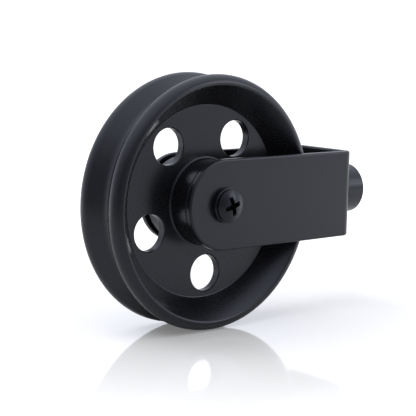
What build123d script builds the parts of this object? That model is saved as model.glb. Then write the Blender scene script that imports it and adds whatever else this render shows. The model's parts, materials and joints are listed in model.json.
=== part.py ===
from build123d import *
import math
import os

# A grooved rope wheel in a fork bent from sheet steel.
# The axle lies along Y, with the screw's head at -Y. The fork's arms run along +X to its base, which
# carries a turned coupler with a threaded hole. The origin is the wheel's centre. Sizes are in mm.

# Wheel, one casting
wheel_diameter = 80.0
groove_depth = 4.0
groove_radius = 3.0
bead_radius = 3.0
bead_centre_y = 7.1
rim_wall = 5.55
bowl_foot_fillet = 0.6
bowl_lip_fillet = 0.9
web_thickness = 3.0
web_offset = -0.8
web_hole_count = 5
web_hole_outer_margin = 1.75
web_hole_inner_margin = 3.75
web_hole_chamfer = 0.3
web_hole_phase = 129.2
hub_wall = 2.4
hub_edge_fillet = 0.8
hub_foot_fillet = 0.8
seat_mouth_chamfer = 0.4
seat_shoulder_height = 1.5
seat_shoulder_width = 3.0

# Ball bearing, the same at both ends of the hub
bearing_bore = 8.0
bearing_diameter = 22.0
bearing_width = 7.0
ball_diameter = 3.969
ball_count = 7
race_conformity = 0.52
race_land_depth = 0.5
ring_edge_chamfer = 0.3
shield_thickness = 0.4
shield_inset = 0.1
shield_step = 0.6
shield_gap = 0.25
cage_thickness = 1.8
cage_back = 0.5
cage_front = 0.9
pocket_clearance = 0.06

# Axle: a sleeve on a through screw, clamped between the arms
shim_diameter = 11.6
spacer_diameter = 11.0
screw_diameter = 6.0
screw_overrun = 0.2
screw_tip_chamfer = 0.6
head_diameter = 10.0
head_height = 2.1
head_rim_height = 0.7
recess_span = 5.8
recess_width = 1.2
recess_depth = 1.9
recess_taper = 10.0
recess_turn = -17.0
washer_diameter = 11.0
washer_thickness = 1.6
washer_edge_chamfer = 0.25
nut_flats = 10.0
nut_height = 6.0
nut_collar_diameter = 8.8
nut_collar_height = 1.3
insert_diameter = 7.8
insert_height = 1.5
nut_corner_angle = 30.0

# Fork
sheet_thickness = 2.4
arm_half_height = 14.25
rim_to_base = 16.6
bend_outer_radius = 3.3
fork_edge_fillet = 0.45

# Coupler
coupler_diameter = 16.7
coupler_length = 10.5
coupler_edge_chamfer = 0.3
stub_diameter = 10.0
stub_overrun = 1.0
stub_chamfer = 0.5
thread_bore_diameter = 9.0
thread_depth = 8.5
thread_mouth_chamfer = 0.5
cable_hole_diameter = 7.0
coupler_nut_flats = 14.0
coupler_nut_height = 3.0
lock_washer_diameter = 15.0
lock_washer_thickness = 1.0
lock_washer_split = 1.0
lock_washer_split_angle = 30.0

# Clearances
rim_side_clearance = 0.3
hub_side_clearance = 0.5
ring_clearance = 0.01
thread_clearance = 0.01
shield_clearance = 0.02
sleeve_screw_clearance = 0.1
screw_hole_clearance = 0.2
stub_hole_clearance = 0.1
insert_clearance = 0.01

# Places that follow from the sizes
bead_centre_radius = wheel_diameter / 2 - bead_radius
rim_edge_y = bead_centre_y + bead_radius
groove_bottom_radius = wheel_diameter / 2 - groove_depth
groove_centre_radius = groove_bottom_radius + groove_radius
bowl_foot_radius = groove_bottom_radius - rim_wall
hub_radius = bearing_diameter / 2 + hub_wall
web_front_y = web_offset - web_thickness / 2
web_rear_y = web_offset + web_thickness / 2
web_hole_outer_reach = bowl_foot_radius - web_hole_outer_margin
web_hole_inner_reach = hub_radius + web_hole_inner_margin
web_hole_radius = (web_hole_outer_reach - web_hole_inner_reach) / 2
web_hole_circle_radius = (web_hole_outer_reach + web_hole_inner_reach) / 2
seat_radius = bearing_diameter / 2 + ring_clearance
shoulder_radius = seat_radius - seat_shoulder_height
shoulder_half = seat_shoulder_width / 2
bearing_centre_y = shoulder_half + bearing_width / 2
bearing_face_y = shoulder_half + bearing_width

bearing_half = bearing_width / 2
ball_radius = ball_diameter / 2
pitch_radius = (bearing_bore + bearing_diameter) / 4
race_radius = race_conformity * ball_diameter
inner_land_radius = pitch_radius - race_radius + race_land_depth
outer_land_radius = pitch_radius + race_radius - race_land_depth
shield_seat_radius = outer_land_radius + shield_step
shield_outer_y = bearing_half - shield_inset
shield_inner_y = shield_outer_y - shield_thickness
pocket_radius = ball_radius + pocket_clearance

arm_inner_y = rim_edge_y + rim_side_clearance
arm_outer_y = arm_inner_y + sheet_thickness
hub_half = arm_inner_y - hub_side_clearance
base_outer_x = wheel_diameter / 2 + rim_to_base
base_inner_x = base_outer_x - sheet_thickness
bend_inner_radius = bend_outer_radius - sheet_thickness
sleeve_radius = bearing_bore / 2 - ring_clearance
sleeve_bore_radius = screw_diameter / 2 + sleeve_screw_clearance
screw_radius = screw_diameter / 2
screw_hole_radius = screw_radius + screw_hole_clearance
washer_outer_y = arm_outer_y + washer_thickness
screw_length = 2 * washer_outer_y + nut_height + screw_overrun
nut_thread_radius = screw_radius + thread_clearance

coupler_end_x = base_outer_x + coupler_length
stub_radius = stub_diameter / 2
lock_washer_x = base_inner_x - lock_washer_thickness
coupler_nut_x = lock_washer_x - coupler_nut_height
stub_end_x = coupler_nut_x - stub_overrun


def turned_about_y(outline):
    """Solid of revolution about the axle from points (radius, y)."""
    profile = make_face(Polyline(*outline, close=True))
    return revolve(profile, Axis.Y)


def turned_about_x(outline):
    """Solid of revolution about X from points (x, radius)."""
    profile = make_face(Polyline(*outline, close=True))
    return revolve(profile, Axis.X)


def ring_about_y(inner_radius, outer_radius, low, high, chamfer_size=0.0):
    """Flat ring round the axle, with its outer edges chamfered if a size is given."""
    c = chamfer_size
    if c == 0.0:
        return turned_about_y([
            (inner_radius, low), (outer_radius, low), (outer_radius, high), (inner_radius, high),
        ])
    return turned_about_y([
        (inner_radius, low), (outer_radius - c, low), (outer_radius, low + c),
        (outer_radius, high - c), (outer_radius - c, high), (inner_radius, high),
    ])


def rod_about_y(radius, low, high):
    """Plain cylinder along the axle between two heights."""
    return turned_about_y([(0, low), (radius, low), (radius, high), (0, high)])


def rod_about_x(radius, low, high):
    """Plain cylinder along X between two places."""
    return turned_about_x([(low, 0), (low, radius), (high, radius), (high, 0)])


def corners_at(profile, radius, levels):
    """The profile's corners at one radius and at the given heights."""
    at_radius = [v for v in profile.vertices() if math.isclose(v.X, radius, abs_tol=1e-6)]
    return [v for v in at_radius if any(math.isclose(v.Y, level, abs_tol=1e-6) for level in levels)]


def groove_wall():
    """Straight side of the groove: its ends where it meets the bottom's arc and the bead."""
    step = bead_centre_radius - groove_centre_radius
    span = math.hypot(step, bead_centre_y)
    lean = math.atan2(bead_centre_y, step) + math.acos((groove_radius + bead_radius) / span)
    c, s = math.cos(lean), math.sin(lean)
    foot = (groove_centre_radius + groove_radius * c, groove_radius * s)
    top = (bead_centre_radius - bead_radius * c, bead_centre_y - bead_radius * s)
    return foot, top


def wheel_profile():
    """Half section of the wheel: hub with bearing seats, thin web, bowl, beads and groove."""
    rim_r = bead_centre_radius
    foot, top = groove_wall()
    far_foot = (foot[0], -foot[1])
    far_top = (top[0], -top[1])
    hub_side = [
        (rim_r, -rim_edge_y), (bowl_foot_radius, web_front_y), (hub_radius, web_front_y),
        (hub_radius, -hub_half), (seat_radius, -hub_half), (seat_radius, -shoulder_half),
        (shoulder_radius, -shoulder_half), (shoulder_radius, shoulder_half), (seat_radius, shoulder_half),
        (seat_radius, hub_half), (hub_radius, hub_half), (hub_radius, web_rear_y),
        (bowl_foot_radius, web_rear_y), (rim_r, rim_edge_y),
    ]
    outline = [
        Polyline(*hub_side),
        ThreePointArc((rim_r, rim_edge_y), (rim_r + bead_radius, bead_centre_y), top),
        Line(top, foot),
        ThreePointArc(foot, (groove_bottom_radius, 0), far_foot),
        Line(far_foot, far_top),
        ThreePointArc(far_top, (rim_r + bead_radius, -bead_centre_y), (rim_r, -rim_edge_y)),
    ]
    web_faces = (web_front_y, web_rear_y)
    hub_faces = (-hub_half, hub_half)
    profile = make_face(outline)
    profile = fillet(corners_at(profile, rim_r, (-rim_edge_y, rim_edge_y)), bowl_lip_fillet)
    profile = fillet(corners_at(profile, bowl_foot_radius, web_faces), bowl_foot_fillet)
    profile = fillet(corners_at(profile, hub_radius, web_faces), hub_foot_fillet)
    profile = fillet(corners_at(profile, hub_radius, hub_faces), hub_edge_fillet)
    return chamfer(corners_at(profile, seat_radius, hub_faces), seat_mouth_chamfer)


def sheave_wheel():
    """The wheel casting with its ring of round holes through the web."""
    wheel = revolve(wheel_profile(), Axis.Y)
    hole = rod_about_y(web_hole_radius, web_front_y - web_thickness, web_rear_y + web_thickness)
    for k in range(web_hole_count):
        angle = math.radians(web_hole_phase + k * 360 / web_hole_count)
        place = (web_hole_circle_radius * math.cos(angle), 0, web_hole_circle_radius * math.sin(angle))
        wheel -= Pos(*place) * hole
    rims = wheel.edges().filter_by(GeomType.CIRCLE)
    rims = [e for e in rims if math.isclose(e.radius, web_hole_radius, abs_tol=1e-4)]
    return chamfer(rims, web_hole_chamfer)


def race_groove():
    """The round track that the balls run in, as a full ring to cut away."""
    return revolve(Pos(pitch_radius, 0) * Circle(race_radius), Axis.Y)


def bearing_inner_ring():
    """Inner ring with its ball track."""
    bore_radius = bearing_bore / 2
    c = ring_edge_chamfer
    ring = turned_about_y([
        (bore_radius + c, -bearing_half), (inner_land_radius, -bearing_half),
        (inner_land_radius, bearing_half), (bore_radius + c, bearing_half),
        (bore_radius, bearing_half - c), (bore_radius, c - bearing_half),
    ])
    return ring - race_groove()


def bearing_outer_ring():
    """Outer ring with its ball track and a step for the shield at each face."""
    outer_radius = bearing_diameter / 2
    c = ring_edge_chamfer
    ring = turned_about_y([
        (shield_seat_radius, -bearing_half), (outer_radius - c, -bearing_half),
        (outer_radius, c - bearing_half), (outer_radius, bearing_half - c),
        (outer_radius - c, bearing_half), (shield_seat_radius, bearing_half),
        (shield_seat_radius, shield_inner_y), (outer_land_radius, shield_inner_y),
        (outer_land_radius, -shield_inner_y), (shield_seat_radius, -shield_inner_y),
    ])
    return ring - race_groove()


def bearing_shield(side):
    """Thin pressed disc that covers one face of the bearing."""
    low = min(side * shield_inner_y, side * shield_outer_y)
    return ring_about_y(
        inner_land_radius + shield_gap, shield_seat_radius - shield_clearance, low, low + shield_thickness
    )


def ball_places():
    """Angle of each ball round the bearing."""
    return [k * 360 / ball_count for k in range(ball_count)]


def bearing_balls():
    """The ring of balls."""
    ball = Pos(pitch_radius, 0, 0) * Sphere(ball_radius)
    return [Rot(0, angle, 0) * ball for angle in ball_places()]


def ball_cage():
    """Crown cage: a ring with a pocket for each ball, open to one side."""
    half = cage_thickness / 2
    back_y = -(pocket_radius + cage_back)
    cage = ring_about_y(pitch_radius - half, pitch_radius + half, back_y, cage_front)
    pocket = Pos(pitch_radius, 0, 0) * Rot(0, 90, 0) * Cylinder(pocket_radius, 2 * cage_thickness)
    for angle in ball_places():
        cage -= Rot(0, angle, 0) * pocket
    return cage


def axle_sleeve():
    """Tube that carries both bearings and keeps the arms apart."""
    return ring_about_y(sleeve_bore_radius, sleeve_radius, -arm_inner_y, arm_inner_y)


def bearing_spacer():
    """Ring between the two inner rings."""
    return ring_about_y(bearing_bore / 2, spacer_diameter / 2, -shoulder_half, shoulder_half)


def shim():
    """Ring between an inner ring and the arm, on the +Y side."""
    return ring_about_y(bearing_bore / 2, shim_diameter / 2, bearing_face_y, arm_inner_y)


def washer():
    """Flat washer on the outer face of the +Y arm."""
    return ring_about_y(
        screw_hole_radius, washer_diameter / 2, arm_outer_y, washer_outer_y, washer_edge_chamfer
    )


def cross_outline(span, width):
    """Outline of a cross recess as one plus-shaped face."""
    return Rectangle(span, width) + Rectangle(width, span)


def cross_recess(top_y):
    """Cross recess for a driver, tapering inwards from the top of the head."""
    narrowing = 2 * recess_depth * math.tan(math.radians(recess_taper))
    top = Plane((0, top_y, 0), x_dir=(1, 0, 0), z_dir=(0, 1, 0))
    bottom = Plane((0, top_y + recess_depth, 0), x_dir=(1, 0, 0), z_dir=(0, 1, 0))
    mouth = top * Rot(0, 0, recess_turn) * cross_outline(recess_span, recess_width)
    foot_width = recess_width * (1 - narrowing / recess_span)
    foot = bottom * Rot(0, 0, recess_turn) * cross_outline(recess_span - narrowing, foot_width)
    return loft([mouth.faces()[0], foot.faces()[0]])


def axle_screw():
    """Pan-headed through screw with a cross recess."""
    seat_y = -washer_outer_y
    top_y = seat_y - head_height
    rim_y = seat_y - head_rim_height
    head_radius = head_diameter / 2
    dome_height = head_height - head_rim_height
    dome_radius = (head_radius ** 2 + dome_height ** 2) / (2 * dome_height)
    middle_angle = math.asin(head_radius / dome_radius) / 2
    middle = (
        dome_radius * math.sin(middle_angle), top_y + dome_radius * (1 - math.cos(middle_angle))
    )
    outline = [
        Polyline((0, top_y), (0, seat_y), (head_radius, seat_y), (head_radius, rim_y)),
        ThreePointArc((head_radius, rim_y), middle, (0, top_y)),
    ]
    head = revolve(make_face(outline), Axis.Y)
    tip_y = seat_y + screw_length
    c = screw_tip_chamfer
    shank = turned_about_y([
        (0, seat_y), (screw_radius, seat_y), (screw_radius, tip_y - c), (screw_radius - c, tip_y), (0, tip_y),
    ])
    return head + shank - cross_recess(top_y)


def hexagon_nut(flats, height):
    """Hexagon bar along Z from its base, with both faces turned to a cone."""
    corner = flats / 2 / math.cos(math.pi / 6)
    drop = (corner - flats / 2) * math.tan(math.radians(nut_corner_angle))
    bar = extrude(RegularPolygon(corner, 6), height)
    outline = [
        (0, 0), (flats / 2, 0), (corner, drop), (corner, height - drop), (flats / 2, height), (0, height),
    ]
    envelope = revolve(Plane.XZ * make_face(Polyline(*outline, close=True)), Axis.Z)
    return bar & envelope


def nut_body():
    """Self-locking nut: a hexagon with a round collar that holds its insert."""
    hexagon = Rot(-90, 0, 0) * hexagon_nut(nut_flats, nut_height - nut_collar_height)
    nut = Pos(0, washer_outer_y, 0) * hexagon
    top_y = washer_outer_y + nut_height
    nut += rod_about_y(nut_collar_diameter / 2, top_y - nut_collar_height, top_y)
    nut -= rod_about_y(nut_thread_radius, washer_outer_y, top_y)
    return nut - rod_about_y(insert_diameter / 2 + insert_clearance, top_y - insert_height, top_y)


def nut_insert():
    """Plastic locking ring in the top of the nut."""
    top_y = washer_outer_y + nut_height
    return ring_about_y(nut_thread_radius, insert_diameter / 2, top_y - insert_height, top_y)


def fork_band():
    """The folded sheet seen along Z: two arms joined by the base with round bends."""
    reach = -arm_half_height
    outer = Pos((reach + base_outer_x) / 2, 0) * Rectangle(base_outer_x - reach, 2 * arm_outer_y)
    inner = Pos((reach + base_inner_x) / 2, 0) * Rectangle(base_inner_x - reach, 2 * arm_inner_y)
    outer = fillet([v for v in outer.vertices() if v.X > 0], bend_outer_radius)
    inner = fillet([v for v in inner.vertices() if v.X > 0], bend_inner_radius)
    return extrude(outer - inner, arm_half_height, both=True)


def fork_side():
    """The fork seen along Y, as a solid to trim the band with: a round end and a straight run."""
    face = Circle(arm_half_height)
    face += Pos(base_outer_x / 2, 0) * Rectangle(base_outer_x, 2 * arm_half_height)
    return extrude(Plane.XZ * face, arm_outer_y, both=True)


def bracket():
    """Fork bent from one strip, with its edges broken, two axle holes and one base hole."""
    fork = fork_band() & fork_side()
    fork = fillet(fork.edges().filter_by(lambda e: is_sheet_edge(e)), fork_edge_fillet)
    fork -= rod_about_y(screw_hole_radius, -arm_outer_y, arm_outer_y)
    return fork - rod_about_x(stub_radius + stub_hole_clearance, base_inner_x, base_outer_x)


def is_sheet_edge(edge):
    """True for an edge that runs round the sheet's outline, and not across its thickness."""
    start = edge.position_at(0)
    end = edge.position_at(1)
    middle = edge.position_at(0.5)
    across = math.isclose(start.X, end.X, abs_tol=1e-6) and math.isclose(start.Z, end.Z, abs_tol=1e-6)
    at_bend = abs(middle.Z) < arm_half_height - 1e-3 and middle.X > arm_half_height
    return not across and not at_bend


def coupler():
    """Turned barrel with a threaded hole, a cable hole and a stub that passes through the base."""
    c = coupler_edge_chamfer
    barrel_radius = coupler_diameter / 2
    body = turned_about_x([
        (stub_end_x, 0), (stub_end_x, stub_radius - stub_chamfer), (stub_end_x + stub_chamfer, stub_radius),
        (base_outer_x, stub_radius), (base_outer_x, barrel_radius), (coupler_end_x - c, barrel_radius),
        (coupler_end_x, barrel_radius - c), (coupler_end_x, 0),
    ])
    body -= rod_about_x(cable_hole_diameter / 2, stub_end_x, coupler_end_x)
    thread_radius = thread_bore_diameter / 2
    m = thread_mouth_chamfer
    body -= turned_about_x([
        (coupler_end_x - thread_depth, 0), (coupler_end_x - thread_depth, thread_radius),
        (coupler_end_x - m, thread_radius), (coupler_end_x, thread_radius + m), (coupler_end_x, 0),
    ])
    return body


def coupler_nut():
    """Thin hexagon nut on the stub, inside the fork."""
    hexagon = Rot(0, 90, 0) * hexagon_nut(coupler_nut_flats, coupler_nut_height)
    nut = Pos(coupler_nut_x, 0, 0) * hexagon
    return nut - rod_about_x(stub_radius + thread_clearance, coupler_nut_x, lock_washer_x)


def coupler_lock_washer():
    """Split spring washer between the thin nut and the base."""
    inner_radius = stub_radius + stub_hole_clearance
    outer_radius = lock_washer_diameter / 2
    ring = rod_about_x(outer_radius, lock_washer_x, base_inner_x)
    ring -= rod_about_x(inner_radius, lock_washer_x, base_inner_x)
    split = Box(3 * lock_washer_thickness, lock_washer_split, outer_radius)
    middle_x = base_inner_x - lock_washer_thickness / 2
    return ring - Pos(middle_x, 0, outer_radius) * Rot(0, 0, lock_washer_split_angle) * split


def mirrored(piece):
    """The same piece on the other side of the wheel."""
    return mirror(piece, Plane.XZ)


def save(name, *pieces):
    """Write one node's file."""
    shape = pieces[0] if len(pieces) == 1 else Compound(children=list(pieces))
    export_step(shape, f"parts/{name}.step")


def save_bearing(end, side):
    """Write the seven nodes of one bearing; side is -1 at the front and 1 at the rear."""
    place = Pos(0, side * bearing_centre_y, 0)
    save(f"{end}_bearing_inner_ring", place * bearing_inner_ring())
    save(f"{end}_bearing_outer_ring", place * bearing_outer_ring())
    save(f"{end}_bearing_outer_shield", place * bearing_shield(side))
    save(f"{end}_bearing_inner_shield", place * bearing_shield(-side))
    cage = ball_cage() if side > 0 else mirrored(ball_cage())
    save(f"{end}_ball_cage", place * cage)
    save(f"{end}_bearing_balls", *[place * ball for ball in bearing_balls()])


os.makedirs("parts", exist_ok=True)
save("sheave_wheel", sheave_wheel())
save_bearing("front", -1)
save_bearing("rear", 1)
save("bearing_spacer", bearing_spacer())
save("axle_sleeve", axle_sleeve())
save("front_shim", mirrored(shim()))
save("rear_shim", shim())
save("front_washer", mirrored(washer()))
save("rear_washer", washer())
save("axle_screw", axle_screw())
save("axle_nut", nut_body())
save("nut_insert", nut_insert())
save("bracket", bracket())
save("coupler", coupler())
save("coupler_nut", coupler_nut())
save("coupler_lock_washer", coupler_lock_washer())
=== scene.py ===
import json
import logging
import math
from dataclasses import dataclass
from enum import Enum
from typing import Any, Dict, List, Optional, Sequence, Tuple, Union

import bmesh
import bpy
from mathutils import Matrix, Vector


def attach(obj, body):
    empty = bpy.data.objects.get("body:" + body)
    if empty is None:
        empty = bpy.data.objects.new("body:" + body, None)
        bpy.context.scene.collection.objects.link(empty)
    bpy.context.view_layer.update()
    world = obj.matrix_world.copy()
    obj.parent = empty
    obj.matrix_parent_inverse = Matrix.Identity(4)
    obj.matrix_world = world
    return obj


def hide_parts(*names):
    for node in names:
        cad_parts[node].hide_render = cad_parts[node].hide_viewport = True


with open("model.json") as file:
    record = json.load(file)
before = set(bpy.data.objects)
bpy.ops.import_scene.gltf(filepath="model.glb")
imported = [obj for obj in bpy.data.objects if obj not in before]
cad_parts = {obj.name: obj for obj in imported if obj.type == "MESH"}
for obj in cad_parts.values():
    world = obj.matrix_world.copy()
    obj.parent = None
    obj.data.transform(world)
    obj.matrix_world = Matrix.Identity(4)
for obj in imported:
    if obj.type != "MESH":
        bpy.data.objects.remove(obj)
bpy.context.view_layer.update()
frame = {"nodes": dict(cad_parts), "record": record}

LOG = logging.getLogger("pulley")
MM = 0.001
FULL_TURN = 2 * math.pi
ORIGIN = (0.0, 0.0, 0.0)
IMAGE_PIXELS = 416
MERGE_DISTANCE = 1e-6
SHARP_EDGE_DEGREES = 28.0
NOISE_MIDDLE = 0.5

Colour = Tuple[float, float, float]
Value = Union["Signal", float, Sequence[float]]
Inputs = Dict[Union[str, int], Value]

WHITE: Colour = (1.0, 1.0, 1.0)
BLACK: Colour = (0.0, 0.0, 0.0)


@dataclass(frozen=True)
class Signal:
    """A node's output that Python's operators turn into Math nodes.

    Args:
        tree: The shader that the output belongs to.
        socket: The output itself.
    """

    tree: "Shader"
    socket: bpy.types.NodeSocket

    def _math(self, operation: str, first: Value, second: Value) -> "Signal":
        """Add one Math node."""
        return self.tree.node("ShaderNodeMath", {"operation": operation}, {0: first, 1: second})

    def __add__(self, other: Value) -> "Signal":
        """Sum of two values."""
        return self._math("ADD", self, other)

    def __radd__(self, other: Value) -> "Signal":
        """Sum of two values, with the signal second."""
        return self._math("ADD", other, self)

    def __sub__(self, other: Value) -> "Signal":
        """Difference of two values."""
        return self._math("SUBTRACT", self, other)

    def __rsub__(self, other: Value) -> "Signal":
        """Difference of two values, with the signal second."""
        return self._math("SUBTRACT", other, self)

    def __mul__(self, other: Value) -> "Signal":
        """Product of two values."""
        return self._math("MULTIPLY", self, other)

    def __rmul__(self, other: Value) -> "Signal":
        """Product of two values, with the signal second."""
        return self._math("MULTIPLY", other, self)

    def __truediv__(self, other: Value) -> "Signal":
        """Quotient of two values."""
        return self._math("DIVIDE", self, other)

    def __rtruediv__(self, other: Value) -> "Signal":
        """Quotient of two values, with the signal below the line."""
        return self._math("DIVIDE", other, self)

    def __pow__(self, other: Value) -> "Signal":
        """Power of two values."""
        return self._math("POWER", self, other)

    def __rpow__(self, other: Value) -> "Signal":
        """Power of two values, with the signal as the exponent."""
        return self._math("POWER", other, self)

    def largest(self, other: Value) -> "Signal":
        """The larger of two values."""
        return self._math("MAXIMUM", self, other)

    def smallest(self, other: Value) -> "Signal":
        """The smaller of two values."""
        return self._math("MINIMUM", self, other)

    def between(self, low: float, high: float) -> "Signal":
        """Rescale so that low becomes 0 and high becomes 1, with nothing outside."""
        return ((self - low) / (high - low)).largest(0.0).smallest(1.0)

    def eased(self) -> "Signal":
        """Ease a value between 0 and 1 in and out."""
        return self * self * (3.0 - 2.0 * self)


class Shader:
    """One material's or world's node tree, with a method that adds any node."""

    # The Mix node has an A, a B and a result for each kind of value, and these are its colour ones.
    MIX_FIRST, MIX_SECOND, MIX_RESULT = 6, 7, 2

    def __init__(self, tree: bpy.types.NodeTree) -> None:
        """Keep the tree and empty it."""
        self.tree = tree
        tree.nodes.clear()

    def node(
        self,
        kind: str,
        settings: Optional[Dict[str, Any]] = None,
        inputs: Optional[Inputs] = None,
        output: Union[str, int] = 0,
    ) -> Signal:
        """Add a node, set it and connect it.

        Args:
            kind: The node's type name.
            settings: Its own settings, set before its sockets.
            inputs: Values or signals by socket name or number.
            output: Which output to hand back.

        Returns:
            The chosen output as a signal.
        """
        return Signal(self, self._added(kind, settings or {}, inputs or {}).outputs[output])

    def end(self, kind: str, inputs: Inputs) -> None:
        """Add a node that only takes inputs, such as a material's output."""
        self._added(kind, {}, inputs)

    def _added(self, kind: str, settings: Dict[str, Any], inputs: Inputs) -> bpy.types.Node:
        """Add a node with its settings first and its sockets after them.

        Args:
            kind: The node's type name.
            settings: Its own settings.
            inputs: Values or signals by socket name or number.

        Returns:
            The node.
        """
        made = self.tree.nodes.new(kind)
        for name, value in settings.items():
            setattr(made, name, value)
        for name, value in inputs.items():
            if isinstance(value, Signal):
                self.tree.links.new(value.socket, made.inputs[name])
            else:
                made.inputs[name].default_value = value
        return made

    def position(self) -> Signal:
        """The point's place in the object's own coordinates, in metres."""
        return self.node("ShaderNodeTexCoord", output="Object")

    def part(self, vector: Signal, axis: str) -> Signal:
        """One component of a vector, named X, Y or Z."""
        return self.node("ShaderNodeSeparateXYZ", None, {0: vector}, axis)

    def rays(self, kind: str) -> Signal:
        """1 for rays of a kind, such as Is Camera Ray, and 0 for the rest."""
        return self.node("ShaderNodeLightPath", output=kind)

    def mirrored_rays(self) -> Signal:
        """1 for rays from a reflection or through glass, and 0 for the rest."""
        return self.rays("Is Glossy Ray").largest(self.rays("Is Transmission Ray"))

    def noise(self, place: Signal, size: float, detail: float = 2.0, roughness: float = 0.5) -> Signal:
        """Smooth noise whose features are about as wide as a given size.

        Args:
            place: Where the noise is read.
            size: Width of a feature in metres.
            detail: Number of finer layers.
            roughness: Strength of the finer layers.

        Returns:
            A value around NOISE_MIDDLE.
        """
        inputs: Inputs = {"Vector": place, "Scale": 1.0 / size, "Detail": detail, "Roughness": roughness}
        return self.node("ShaderNodeTexNoise", None, inputs)

    def mix_colour(self, share: Value, first: Colour, second: Colour) -> Signal:
        """Blend two colours by a share between 0 and 1.

        Args:
            share: 0 gives the first colour and 1 the second.
            first: The first colour.
            second: The second colour.

        Returns:
            The blended colour.
        """
        inputs: Inputs = {0: share, self.MIX_FIRST: (*first, 1.0), self.MIX_SECOND: (*second, 1.0)}
        return self.node("ShaderNodeMix", {"data_type": "RGBA"}, inputs, self.MIX_RESULT)

    def bump(self, height: Signal, distance: float) -> Signal:
        """Turn a height between 0 and 1 into a normal.

        Args:
            height: The relief.
            distance: Height in metres where the relief is 1.

        Returns:
            The bent normal.
        """
        return self.node("ShaderNodeBump", None, {"Height": height, "Distance": distance})


class Axle(Enum):
    """An axis through the origin."""

    ALONG_X = "X"
    ALONG_Y = "Y"
    ALONG_Z = "Z"

    def direction(self) -> Tuple[float, ...]:
        """Unit vector along the axis."""
        return tuple(1.0 if axis is self else 0.0 for axis in Axle)


def distance_from_axle(shader: Shader, place: Signal, axle: Axle) -> Signal:
    """Radius of a point about an axis through the origin.

    Args:
        shader: The shader that gets the nodes.
        place: The point.
        axle: The axis to measure from.

    Returns:
        The radius in metres.
    """
    first, second = [shader.part(place, axis.value) for axis in Axle if axis is not axle]
    return (first * first + second * second) ** 0.5


def shaded(colour: Colour, shares: Colour) -> Colour:
    """Multiply each part of a colour by its share."""
    return (colour[0] * shares[0], colour[1] * shares[1], colour[2] * shares[2])


def new_material(name: str) -> Tuple[Shader, bpy.types.Material]:
    """Start an empty material.

    Args:
        name: Its name.

    Returns:
        Its shader and the material.
    """
    material = bpy.data.materials.new(name)
    material.use_nodes = True
    return Shader(material.node_tree), material


@dataclass(frozen=True)
class Finish:
    """What all finishes share.

    Args:
        name: The material's name, which is the finish's slot in the record.
        colour: Its colour.
        roughness: Middle roughness.
    """

    name: str
    colour: Colour
    roughness: float

    def surface(self, shader: Shader, place: Signal) -> Inputs:
        """Work out what the surface shader gets.

        Args:
            shader: The material's shader.
            place: The point's place on the piece.

        Returns:
            Values and signals by socket name.
        """
        raise NotImplementedError

    def material(self) -> bpy.types.Material:
        """Build the finish.

        Returns:
            Its material.
        """
        shader, material = new_material(self.name)
        inputs = self.surface(shader, shader.position())
        shader.end("ShaderNodeOutputMaterial", {0: shader.node("ShaderNodeBsdfPrincipled", None, inputs)})
        return material


@dataclass(frozen=True)
class PowderCoat(Finish):
    """Satin powder coat over metal: a fine grain, and soft patches that drift in colour and sheen.

    Args:
        drift: A second colour that the patches lean towards.
        gloss_tint: Colour of what the coat mirrors head on.
        grain: Width of one grain of the coat's skin in metres.
        relief: Height of the grain in metres.
        patch: Width of a patch in metres.
        patch_range: Noise levels where the drift begins and is whole.
        fineness: How many times finer the second grain is.
        fine_share: Share of the relief that is that grain.
        patch_sheen: How much a patch changes the roughness.
        grain_sheen: How much the grain does.
    """

    drift: Colour
    gloss_tint: Colour = (0.85, 0.88, 1.0)
    grain: float = 0.45 * MM
    relief: float = 0.001 * MM
    patch: float = 14 * MM
    patch_range: Tuple[float, float] = (0.3, 0.7)
    fineness: float = 4.0
    fine_share: float = 0.2
    patch_sheen: float = 0.10
    grain_sheen: float = 0.06

    def surface(self, shader: Shader, place: Signal) -> Inputs:
        """Work out what the surface shader gets.

        Args:
            shader: The material's shader.
            place: The point's place on the piece.

        Returns:
            Values and signals by socket name.
        """
        patches = shader.noise(place, self.patch, detail=3.0)
        skin = shader.noise(place, self.grain, roughness=0.4)
        fine = shader.noise(place, self.grain / self.fineness, detail=1.0)
        rough = self.roughness + (patches - NOISE_MIDDLE) * self.patch_sheen
        return {
            "Base Color": shader.mix_colour(patches.between(*self.patch_range), self.colour, self.drift),
            "Roughness": rough + (skin - NOISE_MIDDLE) * self.grain_sheen,
            "Specular Tint": (*self.gloss_tint, 1.0),
            "Normal": shader.bump(skin * (1 - self.fine_share) + fine * self.fine_share, self.relief),
        }


@dataclass(frozen=True)
class BlackOxide(Finish):
    """Blackened steel of screws and nuts, smoother than the coat around it.

    Args:
        gloss_tint: Colour of what the steel mirrors head on.
        patch: Width of a lighter patch in metres.
        patch_range: Noise levels where a patch begins and is whole.
        patch_shares: How much lighter it is in each part of the colour.
        patch_sheen: How much a patch changes the roughness.
        grain: Width of the grain in metres.
        relief: Height of the grain in metres.
    """

    gloss_tint: Colour = (0.62, 0.66, 0.78)
    patch: float = 3 * MM
    patch_range: Tuple[float, float] = (0.35, 0.75)
    patch_shares: Colour = (1.6, 1.6, 1.6)
    patch_sheen: float = 0.12
    grain: float = 0.2 * MM
    relief: float = 0.002 * MM

    def surface(self, shader: Shader, place: Signal) -> Inputs:
        """Work out what the surface shader gets.

        Args:
            shader: The material's shader.
            place: The point's place on the piece.

        Returns:
            Values and signals by socket name.
        """
        patches = shader.noise(place, self.patch, detail=3.0)
        lighter = shaded(self.colour, self.patch_shares)
        return {
            "Base Color": shader.mix_colour(patches.between(*self.patch_range), self.colour, lighter),
            "Roughness": self.roughness + (patches - NOISE_MIDDLE) * self.patch_sheen,
            "Specular Tint": (*self.gloss_tint, 1.0),
            "Normal": shader.bump(shader.noise(place, self.grain), self.relief),
        }


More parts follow.
